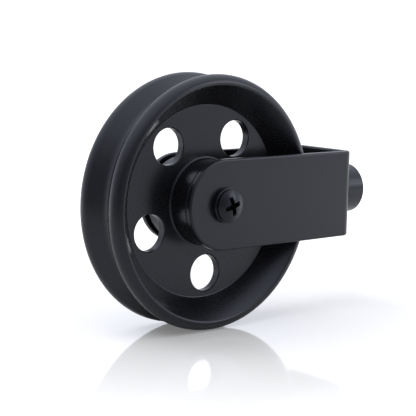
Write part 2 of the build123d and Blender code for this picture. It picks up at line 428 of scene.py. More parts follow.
@dataclass(frozen=True)
class TurnedMetal(Finish):
    """Bare or plated metal with the fine rings that turning or grinding leaves.

    Args:
        ring: Width of one tool ring in metres.
        relief: Height of a ring in metres.
        ring_sheen: How much a ring changes the roughness.
        stain: Width of a duller patch in metres.
        stain_range: Noise levels where a patch begins and is whole.
        stain_shares: How much duller it is in each part of the colour.
        stain_sheen: How much a patch changes the roughness.
        axle: The axis that the piece was turned about.
    """

    ring: float = 0.12 * MM
    relief: float = 0.0015 * MM
    ring_sheen: float = 0.04
    stain: float = 2.5 * MM
    stain_range: Tuple[float, float] = (0.35, 0.7)
    stain_shares: Colour = (0.8, 0.8, 0.78)
    stain_sheen: float = 0.15
    axle: Axle = Axle.ALONG_Y

    def surface(self, shader: Shader, place: Signal) -> Inputs:
        """Work out what the surface shader gets.

        Args:
            shader: The material's shader.
            place: The point's place on the piece.

        Returns:
            Values and signals by socket name.
        """
        radius = distance_from_axle(shader, place, self.axle)
        along = shader.part(place, self.axle.value)
        phase = (radius + along) * (FULL_TURN / self.ring)
        rings = shader.node("ShaderNodeMath", {"operation": "SINE"}, {0: phase}) * 0.5 + 0.5
        stain = shader.noise(place, self.stain, detail=3.0)
        rough = self.roughness + (stain - NOISE_MIDDLE) * self.stain_sheen
        duller = shaded(self.colour, self.stain_shares)
        return {
            "Base Color": shader.mix_colour(stain.between(*self.stain_range), self.colour, duller),
            "Metallic": 1.0,
            "Roughness": rough + rings * self.ring_sheen,
            "Normal": shader.bump(rings, self.relief),
        }


@dataclass(frozen=True)
class MouldedNylon(Finish):
    """Nylon moulding with a faint grain.

    Args:
        cloud: Width of a deeper patch in metres.
        cloud_range: Noise levels where a patch begins and is whole.
        cloud_shares: How much deeper it is in each part of the colour.
        grain: Width of the grain in metres.
        grain_sheen: How much the grain changes the roughness.
        relief: Height of the grain in metres.
        depth: Share of the light that goes below the surface.
    """

    cloud: float = 2 * MM
    cloud_range: Tuple[float, float] = (0.3, 0.7)
    cloud_shares: Colour = (0.8, 0.8, 0.85)
    grain: float = 0.15 * MM
    grain_sheen: float = 0.1
    relief: float = 0.003 * MM
    depth: float = 0.1

    def surface(self, shader: Shader, place: Signal) -> Inputs:
        """Work out what the surface shader gets.

        Args:
            shader: The material's shader.
            place: The point's place on the piece.

        Returns:
            Values and signals by socket name.
        """
        cloud = shader.noise(place, self.cloud)
        grain = shader.noise(place, self.grain)
        deeper = shaded(self.colour, self.cloud_shares)
        return {
            "Base Color": shader.mix_colour(cloud.between(*self.cloud_range), self.colour, deeper),
            "Roughness": self.roughness + (grain - NOISE_MIDDLE) * self.grain_sheen,
            "Subsurface Weight": self.depth,
            "Normal": shader.bump(grain, self.relief),
        }


FINISHES: Tuple[Finish, ...] = (
    PowderCoat("wheel_coat", (0.0062, 0.0064, 0.0078), 0.28, (0.0074, 0.0076, 0.0092)),
    PowderCoat("fork_coat", (0.0058, 0.0060, 0.0076), 0.3, (0.0071, 0.0074, 0.0091)),
    PowderCoat("coupler_coat", (0.0050, 0.0056, 0.0073), 0.27, (0.0062, 0.0068, 0.0086), (0.76, 0.81, 0.93)),
    BlackOxide("screw_black", (0.004, 0.004, 0.0048), 0.26),
    TurnedMetal("plated_steel", (0.62, 0.62, 0.6), 0.35),
    TurnedMetal("bearing_steel", (0.6, 0.6, 0.61), 0.22),
    TurnedMetal("ball_steel", (0.75, 0.75, 0.76), 0.06, 0.3 * MM, 0.0001 * MM),
    TurnedMetal("shield_steel", (0.5, 0.5, 0.5), 0.3, 0.25 * MM),
    MouldedNylon("cage_nylon", (0.35, 0.33, 0.28), 0.45),
    MouldedNylon("insert_nylon", (0.05, 0.12, 0.35), 0.45),
)


@dataclass
class Wardrobe:
    """Builds each finish once and puts it on CAD nodes and new pieces."""

    made: Dict[str, bpy.types.Material]

    @classmethod
    def filled(cls) -> "Wardrobe":
        """Build every finish."""
        return cls({finish.name: finish.material() for finish in FINISHES})

    def dress(self, piece: bpy.types.Object, slot: str) -> None:
        """Give a piece one finish all over.

        Args:
            piece: The object to dress.
            slot: The finish's slot in the record.
        """
        if not piece.data.materials:
            piece.data.materials.append(self.made[slot])
        for index in range(len(piece.data.materials)):
            piece.data.materials[index] = self.made[slot]

    def dress_nodes(self, record: Dict[str, Any], nodes: Dict[str, bpy.types.Object]) -> None:
        """Give every CAD node the finish that the record names for it.

        Args:
            record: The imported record.
            nodes: CAD nodes by name.
        """
        for entry in record["subparts"]:
            self.dress(nodes[entry["node"]], entry["material_slot"])
            LOG.info("dressed %s in %s", entry["node"], entry["material_slot"])


def verts_in(geometry: Sequence[Any]) -> List[bmesh.types.BMVert]:
    """The vertices among what an operator hands back."""
    return [item for item in geometry if isinstance(item, bmesh.types.BMVert)]


class Pen:
    """Draws an outline or a half section in the XY plane with bmesh operators, in millimetres."""

    def __init__(self, x: float, y: float, arc_step: float = 6.0) -> None:
        """Start a shape with its first point.

        Args:
            x: Where the point is.
            y: Where the point is.
            arc_step: About how many degrees each edge of an arc turns.
        """
        self.arc_step = arc_step
        self.shape = bmesh.new()
        self.start = self.shape.verts.new((x * MM, y * MM, 0.0))
        self.tip = self.start

    def line(self, x: float, y: float, steps: int = 1) -> "Pen":
        """Draw a straight line.

        Args:
            x: Where it ends.
            y: Where it ends.
            steps: Number of equal edges.

        Returns:
            The pen.
        """
        first = self.tip.co.copy()
        last = Vector((x, y, 0.0)) * MM
        for step in range(1, steps + 1):
            self.tip = bmesh.ops.extrude_vert_indiv(self.shape, verts=[self.tip])["verts"][0]
            self.tip.co = first.lerp(last, step / steps)
        return self

    def arc(self, x: float, y: float, degrees: float) -> "Pen":
        """Draw an arc about a centre, anticlockwise where the angle is positive.

        Args:
            x: The centre.
            y: The centre.
            degrees: How far the arc goes round.

        Returns:
            The pen.
        """
        made = bmesh.ops.spin(
            self.shape, geom=[self.tip], cent=(x * MM, y * MM, 0.0), axis=Axle.ALONG_Z.direction(),
            angle=math.radians(degrees), steps=max(2, round(abs(degrees) / self.arc_step)),
        )
        self.tip = verts_in(made["geom_last"])[0]
        return self

    def clockwise(self, centre: Vector, first: Vector, last: Vector) -> "Pen":
        """Draw an arc clockwise.

        Args:
            centre: Its centre.
            first: Where the pen is.
            last: Where the arc ends.

        Returns:
            The pen.
        """
        first_angle = math.atan2(first.y - centre.y, first.x - centre.x)
        last_angle = math.atan2(last.y - centre.y, last.x - centre.x)
        return self.arc(*centre, -math.degrees((first_angle - last_angle) % FULL_TURN))

    def rounded(self, corner: Tuple[float, float], radius: float, onwards: Sequence[float]) -> "Pen":
        """Draw a line to a corner and round it on the way to a further point.

        Args:
            corner: The sharp corner.
            radius: Its radius.
            onwards: The point that the next line goes to.

        Returns:
            The pen.
        """
        place = Vector(corner)
        back = (self.tip.co.xy / MM - place).normalized()
        on = (Vector(onwards) - place).normalized()
        half = back.angle(on) / 2
        centre = place + (back + on).normalized() * (radius / math.sin(half))
        turn = math.degrees(math.pi - 2 * half)
        anticlockwise = on.x * back.y - on.y * back.x > 0
        self.line(*(place + back * (radius / math.tan(half))))
        return self.arc(*centre, turn if anticlockwise else -turn)

    def close(self) -> "Pen":
        """Join the last point to the first."""
        bmesh.ops.contextual_create(self.shape, geom=[self.tip, self.start])
        return self

    def drawn_out(self, low: float, high: float) -> bmesh.types.BMesh:
        """Fill the closed outline and draw it out along Z into a solid.

        Args:
            low: Where the solid starts along Z.
            high: Where it ends.

        Returns:
            The solid.
        """
        bmesh.ops.contextual_create(self.shape, geom=self.shape.edges[:])
        bmesh.ops.translate(self.shape, verts=self.shape.verts, vec=(0.0, 0.0, low * MM))
        top = verts_in(bmesh.ops.extrude_face_region(self.shape, geom=self.shape.faces[:])["geom"])
        bmesh.ops.translate(self.shape, verts=top, vec=(0.0, 0.0, (high - low) * MM))
        bmesh.ops.recalc_face_normals(self.shape, faces=self.shape.faces)
        return self.shape

    def turned(self, axle: Axle, steps: int) -> bmesh.types.BMesh:
        """Turn the half section about an axis through the origin into a closed solid.

        Args:
            axle: The axis.
            steps: Number of steps round it.

        Returns:
            The solid.
        """
        bmesh.ops.spin(
            self.shape, geom=[*self.shape.verts, *self.shape.edges], cent=ORIGIN, axis=axle.direction(),
            angle=FULL_TURN, steps=steps, use_merge=True,
        )
        bmesh.ops.remove_doubles(self.shape, verts=self.shape.verts, dist=MERGE_DISTANCE)
        bmesh.ops.dissolve_degenerate(self.shape, edges=self.shape.edges, dist=MERGE_DISTANCE)
        bmesh.ops.recalc_face_normals(self.shape, faces=self.shape.faces)
        return self.shape


@dataclass(frozen=True)
class Thread:
    """A screw thread cut into a round wall whose vertices lie in rows. Sizes in mm.

    Args:
        axle: The wall's axis.
        radius: The wall's radius.
        start: Where the thread begins along the axis.
        end: Where it ends.
        pitch: Distance between its turns.
        depth: How far it is cut, outwards where positive and inwards where negative.
    """

    axle: Axle
    radius: float
    start: float
    end: float
    pitch: float
    depth: float

    ROWS_PER_TURN = 12
    CREST_SHARE = 0.2
    WALL_TOLERANCE = 0.01

    def rows(self) -> int:
        """Number of rows that the wall needs."""
        return round((self.end - self.start) / self.pitch * self.ROWS_PER_TURN)

    def cut(self, shape: bmesh.types.BMesh) -> None:
        """Move the wall's vertices out or in along a helix, and let the thread run out at its ends.

        Args:
            shape: The solid that the wall belongs to.
        """
        for vert in shape.verts:
            x, y, z = vert.co / MM
            along, across, up = (x, y, z) if self.axle is Axle.ALONG_X else (y, z, x)
            radius = math.hypot(across, up)
            if abs(radius - self.radius) > self.WALL_TOLERANCE or not self.start < along < self.end:
                continue
            turn = (along / self.pitch - math.atan2(up, across) / FULL_TURN) % 1.0
            flank = abs(2 * turn - 1.0) * (1 + self.CREST_SHARE) - self.CREST_SHARE / 2
            run_out = min(1.0, (along - self.start) / self.pitch, (self.end - along) / self.pitch)
            scale = 1 + self.depth * min(1.0, max(0.0, flank)) * run_out / radius
            middle = Vector(self.axle.direction()) * along
            vert.co = (middle + (Vector((x, y, z)) - middle) * scale) * MM


def loose_object(name: str, shape: bmesh.types.BMesh) -> bpy.types.Object:
    """Make an object of a shape and free the shape.

    Args:
        name: The object's name.
        shape: The shape.

    Returns:
        The object, in the scene.
    """
    mesh = bpy.data.meshes.new(name)
    shape.to_mesh(mesh)
    shape.free()
    made = bpy.data.objects.new(name, mesh)
    bpy.context.scene.collection.objects.link(made)
    return made


class Tooling(Enum):
    """What a tool does to a body."""

    CUT_AWAY = "DIFFERENCE"
    TRIM_TO = "INTERSECT"


def worked(body: bmesh.types.BMesh, tool: bmesh.types.BMesh, tooling: Tooling) -> bmesh.types.BMesh:
    """Cut a tool's volume out of a body, or trim the body to it.

    Args:
        body: The body, which is freed.
        tool: The tool, which is freed.
        tooling: Which of the two.

    Returns:
        What is left of the body.
    """
    blank = loose_object("blank", body)
    cutter = loose_object("cutter", tool)
    step = blank.modifiers.new("cut", "BOOLEAN")
    step.operation = tooling.value
    step.solver = "EXACT"
    step.object = cutter
    bpy.context.view_layer.update()
    evaluated = blank.evaluated_get(bpy.context.evaluated_depsgraph_get())
    cut_mesh = bpy.data.meshes.new_from_object(evaluated)
    left = bmesh.new()
    left.from_mesh(cut_mesh)
    bmesh.ops.remove_doubles(left, verts=left.verts, dist=MERGE_DISTANCE)
    for item in (blank, cutter):
        mesh = item.data
        bpy.data.objects.remove(item)
        bpy.data.meshes.remove(mesh)
    bpy.data.meshes.remove(cut_mesh)
    return left


@dataclass(frozen=True)
class Standing:
    """What a finished piece stands for: its CAD node, body and material slot."""

    node: str
    body: str
    slot: str


def finished(
    name: str, shape: bmesh.types.BMesh, standing: Standing, wardrobe: Wardrobe
) -> bpy.types.Object:
    """Shade a shape, dress it and put it in its CAD node's place.

    Args:
        name: The piece's name.
        shape: The finished shape.
        standing: The node, body and slot that it stands for.
        wardrobe: The finishes.

    Returns:
        The piece.
    """
    sharp = math.radians(SHARP_EDGE_DEGREES)
    for face in shape.faces:
        face.smooth = True
    for edge in shape.edges:
        edge.smooth = len(edge.link_faces) != 2 or edge.calc_face_angle() < sharp
    piece = loose_object(name, shape)
    weighted = piece.modifiers.new("weighted_normals", "WEIGHTED_NORMAL")
    weighted.keep_sharp = True
    wardrobe.dress(piece, standing.slot)
    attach(piece, standing.body)
    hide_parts(standing.node)
    LOG.info("made %s, %d faces", name, len(piece.data.polygons))
    return piece


@dataclass
class Piece:
    """A new piece in a CAD node's place.

    Args:
        name: Its name.
        standing: The node, body and slot that it stands for.
    """

    name: str
    standing: Standing

    def shape(self) -> bmesh.types.BMesh:
        """Make the piece's shape."""
        raise NotImplementedError

    def build(self, wardrobe: Wardrobe) -> bpy.types.Object:
        """Make the piece and dress it."""
        return finished(self.name, self.shape(), self.standing, wardrobe)


@dataclass
class GroovedWheel(Piece):
    """The wheel casting: rim with two beads and a groove, bowl flanges, holed web and hub. Sizes in mm."""

    name: str = "wheel_casting"
    standing: Standing = Standing("sheave_wheel", "wheel", "wheel_coat")
    bead_radius: float = 3.0
    bead_centre_radius: float = 37.0
    bead_centre_y: float = 7.1
    groove_radius: float = 3.0
    groove_centre_radius: float = 39.0
    bowl_foot_radius: float = 30.45
    bowl_foot_fillet: float = 0.6
    bowl_lip_fillet: float = 0.9
    web_front_y: float = -2.3
    web_rear_y: float = 0.7
    hub_radius: float = 13.4
    hub_half: float = 9.9
    hub_fillet: float = 0.8
    seat_radius: float = 11.01
    seat_mouth: float = 0.4
    shoulder_radius: float = 9.51
    shoulder_half: float = 1.5
    hole_radius: float = 5.775
    hole_circle_radius: float = 22.925
    hole_chamfer: float = 0.3
    hole_count: int = 5
    hole_phase: float = 129.2
    hole_steps: int = 72
    tool_spare: float = 1.0
    steps: int = 180

    def groove_lean(self) -> float:
        """Work out how the groove's straight wall leans.

        Returns:
            Angle of the wall's foot as seen from the bottom arc's centre, in radians.
        """
        step = self.bead_centre_radius - self.groove_centre_radius
        span = math.hypot(step, self.bead_centre_y)
        spread = math.acos((self.groove_radius + self.bead_radius) / span)
        return math.atan2(self.bead_centre_y, step) + spread

    def lip(self, side: int, web_y: float) -> Tuple[Vector, Vector, Vector]:
        """Where the bowl's wall turns into the bead.

        Args:
            side: -1 at the front and 1 at the rear.
            web_y: Height of the web's face on that side.

        Returns:
            The fillet's start on the wall, its centre, and its end on the bead.
        """
        bead = Vector((self.bead_centre_radius, side * self.bead_centre_y))
        edge = bead + Vector((0.0, side * self.bead_radius))
        wall = (edge - Vector((self.bowl_foot_radius, web_y))).normalized()
        inwards = Vector((abs(wall.y), -side * wall.x))
        fillet = self.bowl_lip_fillet
        offset = edge + inwards * fillet - bead
        run = offset.dot(wall)
        root = math.sqrt((self.bead_radius - fillet) ** 2 - offset.length_squared + run ** 2)
        centres = [bead + offset - wall * (run + root), bead + offset - wall * (run - root)]
        centre = min(centres, key=lambda place: (place - edge).length)
        return centre - inwards * fillet, centre, bead + (centre - bead).normalized() * self.bead_radius

    def half_section(self) -> Pen:
        """Draw the wheel's half section, radius along X and height along Y.

        Returns:
            The pen, back where it began.
        """
        front, rear, half = self.web_front_y, self.web_rear_y, self.hub_half
        front_start, front_centre, front_end = self.lip(-1, front)
        rear_start, rear_centre, rear_end = self.lip(1, rear)
        seat, mouth, shoulder = self.seat_radius, self.seat_mouth, self.shoulder_half
        pen = Pen(*front_start)
        pen.rounded((self.bowl_foot_radius, front), self.bowl_foot_fillet, (self.hub_radius, front))
        pen.rounded((self.hub_radius, front), self.hub_fillet, (self.hub_radius, -half))
        pen.rounded((self.hub_radius, -half), self.hub_fillet, (seat, -half))
        pen.line(seat + mouth, -half).line(seat, -half + mouth).line(seat, -shoulder)
        pen.line(self.shoulder_radius, -shoulder).line(self.shoulder_radius, shoulder)
        pen.line(seat, shoulder).line(seat, half - mouth).line(seat + mouth, half)
        pen.rounded((self.hub_radius, half), self.hub_fillet, (self.hub_radius, rear))
        pen.rounded((self.hub_radius, rear), self.hub_fillet, (self.bowl_foot_radius, rear))
        pen.rounded((self.bowl_foot_radius, rear), self.bowl_foot_fillet, rear_start)
        pen.line(*rear_start).clockwise(rear_centre, rear_start, rear_end)
        lean = self.groove_lean()
        slant = Vector((math.cos(lean), math.sin(lean)))
        bead = Vector((self.bead_centre_radius, self.bead_centre_y))
        top = bead - slant * self.bead_radius
        pen.clockwise(bead, rear_end, top)
        pen.line(*(Vector((self.groove_centre_radius, 0.0)) + slant * self.groove_radius))
        pen.arc(self.groove_centre_radius, 0.0, 2 * (180.0 - math.degrees(lean)))
        front_bead, front_top = Vector((bead.x, -bead.y)), Vector((top.x, -top.y))
        pen.line(*front_top).clockwise(front_bead, front_top, front_end)
        return pen.clockwise(front_centre, front_end, front_start)

    def hole_tool(self) -> bmesh.types.BMesh:
        """Make the cutters for the web's holes, each with a chamfer at both faces.

        Returns:
            All of them as one shape.
        """
        wide = self.hole_radius + self.hole_chamfer + self.tool_spare
        low, high = self.web_front_y - self.tool_spare, self.web_rear_y + self.tool_spare
        pen = Pen(0.0, low).line(wide, low).line(self.hole_radius, self.web_front_y + self.hole_chamfer)
        pen.line(self.hole_radius, self.web_rear_y - self.hole_chamfer).line(wide, high).line(0.0, high)
        tool = pen.turned(Axle.ALONG_Y, self.hole_steps)
        bmesh.ops.translate(tool, verts=tool.verts, vec=(self.hole_circle_radius * MM, 0.0, 0.0))
        first = [*tool.verts, *tool.edges, *tool.faces]
        spot = Matrix.Rotation(math.radians(-self.hole_phase), 3, "Y")
        bmesh.ops.rotate(tool, verts=tool.verts, cent=ORIGIN, matrix=spot)
        for number in range(1, self.hole_count):
            copy = verts_in(bmesh.ops.duplicate(tool, geom=first)["geom"])
            turn = Matrix.Rotation(FULL_TURN * number / self.hole_count, 3, "Y")
            bmesh.ops.rotate(tool, verts=copy, cent=ORIGIN, matrix=turn)
        bmesh.ops.recalc_face_normals(tool, faces=tool.faces)
        return tool

    def shape(self) -> bmesh.types.BMesh:
        """Turn the casting and cut the web's holes."""
        wheel = self.half_section().turned(Axle.ALONG_Y, self.steps)
        return worked(wheel, self.hole_tool(), Tooling.CUT_AWAY)


@dataclass
class AxleScrew(Piece):
    """Pan-headed screw with a cross recess and a thread at its tip. Sizes in mm."""

    name: str = "cross_head_screw"
    standing: Standing = Standing("axle_screw", "bracket", "screw_black")
    radius: float = 3.0
    head_radius: float = 5.0
    head_top_y: float = -16.5
    head_rim_y: float = -15.1
    seat_y: float = -14.4
    seat_edge: float = 0.25
    tip_y: float = 20.6
    tip_chamfer: float = 0.6
    thread_length: float = 9.4
    thread_pitch: float = 1.0
    thread_depth: float = -0.55
    recess_span: float = 6.5
    recess_width: float = 1.5
    recess_depth: float = 2.7
    recess_foot: float = 0.68
    recess_flare: float = 1.1
    recess_turn: float = -17.0
    tool_spare: float = 0.4
    steps: int = 72

    # Between the recess grid's inner lines, a third from its middle, and its outer ones, at 1.
    GRID_MIDDLE = 0.5

    def thread(self) -> Thread:
        """The thread that the nut grips."""
        end = self.tip_y - self.tip_chamfer
        start = end - self.thread_length
        return Thread(Axle.ALONG_Y, self.radius, start, end, self.thread_pitch, self.thread_depth)

    def half_section(self) -> Pen:
        """Draw the head and the shank, radius along X and height along Y.

        Returns:
            The pen.
        """
        rise = self.head_rim_y - self.head_top_y
        dome = (self.head_radius ** 2 + rise ** 2) / (2 * rise)
        thread = self.thread()
        pen = Pen(0.0, self.head_top_y)
        pen.arc(0.0, self.head_top_y + dome, math.degrees(math.asin(self.head_radius / dome)))
        pen.rounded((self.head_radius, self.seat_y), self.seat_edge, (self.radius, self.seat_y))
        pen.line(self.radius, self.seat_y).line(self.radius, thread.start)
        pen.line(self.radius, thread.end, thread.rows())
        return pen.line(self.radius - self.tip_chamfer, self.tip_y).line(0.0, self.tip_y)

    def recess_tool(self) -> bmesh.types.BMesh:
        """Make the cross-shaped cutter: a plus of five faces, drawn down to a smaller foot.

        Returns:
            The cutter, which stands a little out of the head.
        """
        tool = bmesh.new()
        bmesh.ops.create_grid(tool, x_segments=3, y_segments=3, size=1.0)
        corners = [
            face for face in tool.faces if min(map(abs, face.calc_center_median().xy)) > self.GRID_MIDDLE
        ]
        bmesh.ops.delete(tool, geom=corners, context="FACES")
        for vert in tool.verts:
            at_end = max(abs(vert.co.x), abs(vert.co.y)) > self.GRID_MIDDLE
            half_width = self.recess_width / 2 * (1.0 if at_end else self.recess_flare)
            for axis in (0, 1):
                outer = abs(vert.co[axis]) > self.GRID_MIDDLE
                reach = self.recess_span / 2 if outer else half_width
                vert.co[axis] = math.copysign(reach, vert.co[axis]) * MM
        foot = verts_in(bmesh.ops.extrude_face_region(tool, geom=tool.faces[:])["geom"])
        bmesh.ops.scale(tool, verts=foot, vec=(self.recess_foot,) * 3)
        bmesh.ops.translate(tool, verts=foot, vec=(0.0, 0.0, (self.recess_depth + self.tool_spare) * MM))
        turn = Matrix.Rotation(math.radians(self.recess_turn), 3, "Z")
        turn = Matrix.Rotation(math.radians(-90), 3, "X") @ turn
        bmesh.ops.rotate(tool, verts=tool.verts, cent=ORIGIN, matrix=turn)
        bmesh.ops.translate(tool, verts=tool.verts, vec=(0.0, (self.head_top_y - self.tool_spare) * MM, 0.0))
        bmesh.ops.recalc_face_normals(tool, faces=tool.faces)
        return tool

    def shape(self) -> bmesh.types.BMesh:
        """Turn the screw, and cut its thread and its recess.

        Returns:
            The screw's shape.
        """
        screw = self.half_section().turned(Axle.ALONG_Y, self.steps)
        self.thread().cut(screw)
        return worked(screw, self.recess_tool(), Tooling.CUT_AWAY)


@dataclass
class BentFork(Piece):
    """The fork bent from one strip, with round ends and softly rounded edges. Sizes in mm."""

    name: str = "bent_fork"
    standing: Standing = Standing("bracket", "bracket", "fork_coat")
    arm_half_height: float = 14.25
    arm_inner_y: float = 10.4
    arm_outer_y: float = 12.8
    base_inner_x: float = 54.2
    base_outer_x: float = 56.6
    bend_radius: float = 3.3
    edge_radius: float = 0.7
    edge_segments: int = 4
    edge_degrees: float = 60.0
    axle_hole_radius: float = 3.2
    base_hole_radius: float = 5.1
    tool_spare: float = 4.0
    end_arc_step: float = 3.0
    steps: int = 64

    def band(self) -> bmesh.types.BMesh:
        """Make the folded strip, longer and higher than the fork.

        Returns:
            The strip.
        """
        start = -self.arm_half_height - self.tool_spare
        outer, inner = self.arm_outer_y, self.arm_inner_y
        inner_bend = self.bend_radius - (outer - inner)
        pen = Pen(start, -outer)
        pen.rounded((self.base_outer_x, -outer), self.bend_radius, (self.base_outer_x, outer))
        pen.rounded((self.base_outer_x, outer), self.bend_radius, (start, outer))
        pen.line(start, outer).line(start, inner)
        pen.rounded((self.base_inner_x, inner), inner_bend, (self.base_inner_x, -inner))
        pen.rounded((self.base_inner_x, -inner), inner_bend, (start, -inner))
        pen.line(start, -inner).close()
        height = self.arm_half_height + self.tool_spare
        return pen.drawn_out(-height, height)

    def side(self) -> bmesh.types.BMesh:
        """Make what the strip is trimmed to: the fork's side view, a round end and a straight run.

        Returns:
            That outline as a solid, wider than the fork.
        """
        end, half = self.base_outer_x + self.tool_spare, self.arm_half_height
        pen = Pen(end, half, self.end_arc_step).line(0.0, half)
        pen.arc(0.0, 0.0, 180.0).line(end, -half).close()
        depth = self.arm_outer_y + self.tool_spare
        shape = pen.drawn_out(-depth, depth)
        upright = Matrix.Rotation(math.radians(90), 3, "X")
        bmesh.ops.rotate(shape, verts=shape.verts, cent=ORIGIN, matrix=upright)
        return shape

    def rod(self, axle: Axle, radius: float, low: float, high: float) -> bmesh.types.BMesh:
        """Make a round cutter along an axis.

        Args:
            axle: The axis, along X or Y.
            radius: The cutter's radius.
            low: Where it starts along the axis.
            high: Where it ends.

        Returns:
            The cutter.
        """
        if axle is Axle.ALONG_X:
            pen = Pen(low, 0.0).line(low, radius).line(high, radius).line(high, 0.0)
        else:
            pen = Pen(0.0, low).line(radius, low).line(radius, high).line(0.0, high)
        return pen.turned(axle, self.steps)

    def shape(self) -> bmesh.types.BMesh:
        """Trim the folded strip to the side view, round its edges and cut its holes.

        Returns:
            The fork's shape.
        """
        fork = worked(self.band(), self.side(), Tooling.TRIM_TO)
        outline = [edge for edge in fork.edges if edge.calc_face_angle(0.0) > math.radians(self.edge_degrees)]
        bmesh.ops.bevel(
            fork, geom=outline, offset=self.edge_radius * MM, segments=self.edge_segments, profile=0.5,
            affect="EDGES", material=-1, clamp_overlap=True,
        )
        reach = self.arm_outer_y + self.tool_spare
        low, high = self.base_inner_x - self.tool_spare, self.base_outer_x + self.tool_spare
        for hole in (
            self.rod(Axle.ALONG_Y, self.axle_hole_radius, -reach, reach),
            self.rod(Axle.ALONG_X, self.base_hole_radius, low, high),
        ):
            fork = worked(fork, hole, Tooling.CUT_AWAY)
        return fork


@dataclass
class ThreadedCoupler(Piece):
    """Turned barrel with a threaded hole, a cable hole and a threaded stub. Sizes in mm."""

    name: str = "threaded_coupler"
    standing: Standing = Standing("coupler", "bracket", "coupler_coat")
    stub_end_x: float = 49.2
    stub_radius: float = 5.0
    stub_chamfer: float = 0.5
    stub_thread_end_x: float = 54.7
    shoulder_x: float = 56.6
    end_x: float = 67.1
    barrel_radius: float = 8.35
    barrel_edge: float = 0.3
    bore_radius: float = 4.5
    bore_depth: float = 8.5
    mouth: float = 0.5
    cable_radius: float = 3.5
    pitch: float = 1.0
    thread_depth: float = 0.5
    steps: int = 84

    def threads(self) -> Tuple[Thread, Thread]:
        """Work out where the two threads are.

        Returns:
            The stub's thread and the bore's.
        """
        stub = self.stub_end_x + self.stub_chamfer, self.stub_thread_end_x
        bore = self.end_x - self.bore_depth, self.end_x - self.mouth
        return (
            Thread(Axle.ALONG_X, self.stub_radius, *stub, self.pitch, -self.thread_depth),
            Thread(Axle.ALONG_X, self.bore_radius, *bore, self.pitch, self.thread_depth),
        )

    def half_section(self) -> Pen:
        """Draw the coupler, its axis along X and its radius along Y.

        Returns:
            The pen, back where it began.
        """
        stub, bore = self.threads()
        pen = Pen(self.stub_end_x, self.cable_radius)
        pen.line(self.stub_end_x, self.stub_radius - self.stub_chamfer).line(stub.start, self.stub_radius)
        pen.line(stub.end, self.stub_radius, stub.rows()).line(self.shoulder_x, self.stub_radius)
        pen.line(self.shoulder_x, self.barrel_radius)
        pen.rounded((self.end_x, self.barrel_radius), self.barrel_edge, (self.end_x, self.bore_radius))
        pen.line(self.end_x, self.bore_radius + self.mouth).line(bore.end, self.bore_radius)
        pen.line(bore.start, self.bore_radius, bore.rows()).line(bore.start, self.cable_radius)
        return pen.close()

    def shape(self) -> bmesh.types.BMesh:
        """Turn the coupler and cut its threads.

        Returns:
            The coupler's shape.
        """
        coupler = self.half_section().turned(Axle.ALONG_X, self.steps)
        for thread in self.threads():
            thread.cut(coupler)
        return coupler


def outwards(azimuth: float, elevation: float) -> Vector:
    """Unit vector from the object in a direction round it.

    Args:
        azimuth: Angle round Z from the object's front, -Y, in degrees.
        elevation: Angle above the horizon in degrees.

    Returns:
        The vector.
    """
    a = math.radians(azimuth)
    e = math.radians(elevation)
    return Vector((math.sin(a) * math.cos(e), -math.cos(a) * math.cos(e), math.sin(e)))


@dataclass
class PhotoCamera:
    """The camera that took the photograph, as fitted to the wheel's and the fork's outlines.

    Args:
        azimuth: Its direction round the object in degrees.
        elevation: Its height above the horizon in degrees.
        roll: How far it leans in degrees.
        right_offset: How far right of the picture's middle the origin is, in metres.
        up_offset: How far above the picture's middle the origin is, in metres.
        distance: Its distance from the origin in metres, along the view.
        focal_pixels: Its focal length in pixels of the photograph.
        sensor: Its sensor's width in mm.
        nearest: Distance in metres from which it sees.
        farthest: Distance in metres up to which it sees.
    """

    azimuth: float = -41.001
    elevation: float = 8.009
    roll: float = 1.392
    right_offset: float = -2.838 * MM
    up_offset: float = 2.396 * MM
    distance: float = 421.908 * MM
    focal_pixels: float = 1339.847
    sensor: float = 36.0
    nearest: float = 0.01
    farthest: float = 20.0

    def build(self) -> bpy.types.Object:
        """Make the camera and let the scene use it.

        Returns:
            The camera.
        """
        azimuth, roll = math.radians(self.azimuth), math.radians(self.roll)
        back = outwards(self.azimuth, self.elevation)
        level_right = Vector((math.cos(azimuth), math.sin(azimuth), 0.0))
        level_up = back.cross(level_right)
        right = level_right * math.cos(roll) + level_up * math.sin(roll)
        up = level_up * math.cos(roll) - level_right * math.sin(roll)
        place = right * -self.right_offset + up * -self.up_offset + back * self.distance
        data = bpy.data.cameras.new("photo_camera")
        data.sensor_width = self.sensor
        data.lens = self.sensor * self.focal_pixels / IMAGE_PIXELS
        data.clip_start = self.nearest
        data.clip_end = self.farthest
        camera = bpy.data.objects.new("photo_camera", data)
        turn = Matrix((right, up, back)).transposed().to_4x4()
        camera.matrix_world = Matrix.Translation(place) @ turn
        bpy.context.scene.collection.objects.link(camera)
        bpy.context.scene.camera = camera
        return camera


@dataclass
class Softbox:
    """One rectangular studio light that faces the object.

    Args:
        name: Its name.
        azimuth: Direction round the object in degrees, as for the camera.
        elevation: Height above the horizon in degrees.
        distance: Distance in metres.
        width: Width in metres.
        height: Height in metres.
        radiance: Brightness of its face.
        colour: Colour of its light.
        mirrored: Whether glossy surfaces show it.
    """

    name: str
    azimuth: float
    elevation: float
    distance: float
    width: float
    height: float
    radiance: float
    colour: Colour = (0.98, 0.985, 1.0)
    mirrored: bool = True

    def build(self) -> bpy.types.Object:
        """Make the light and aim it at the origin.

        Returns:
            The light.
        """
        out = outwards(self.azimuth, self.elevation)
        data = bpy.data.lights.new(self.name, "AREA")
        data.shape = "RECTANGLE"
        data.size = self.width
        data.size_y = self.height
        data.color = self.colour
        data.energy = self.radiance * self.width * self.height * math.pi
        light = bpy.data.objects.new(self.name, data)
        turn = out.to_track_quat("Z", "Y").to_matrix().to_4x4()
        light.matrix_world = Matrix.Translation(out * self.distance) @ turn
        light.visible_camera = False
        light.visible_glossy = self.mirrored
        bpy.context.scene.collection.objects.link(light)
        return light


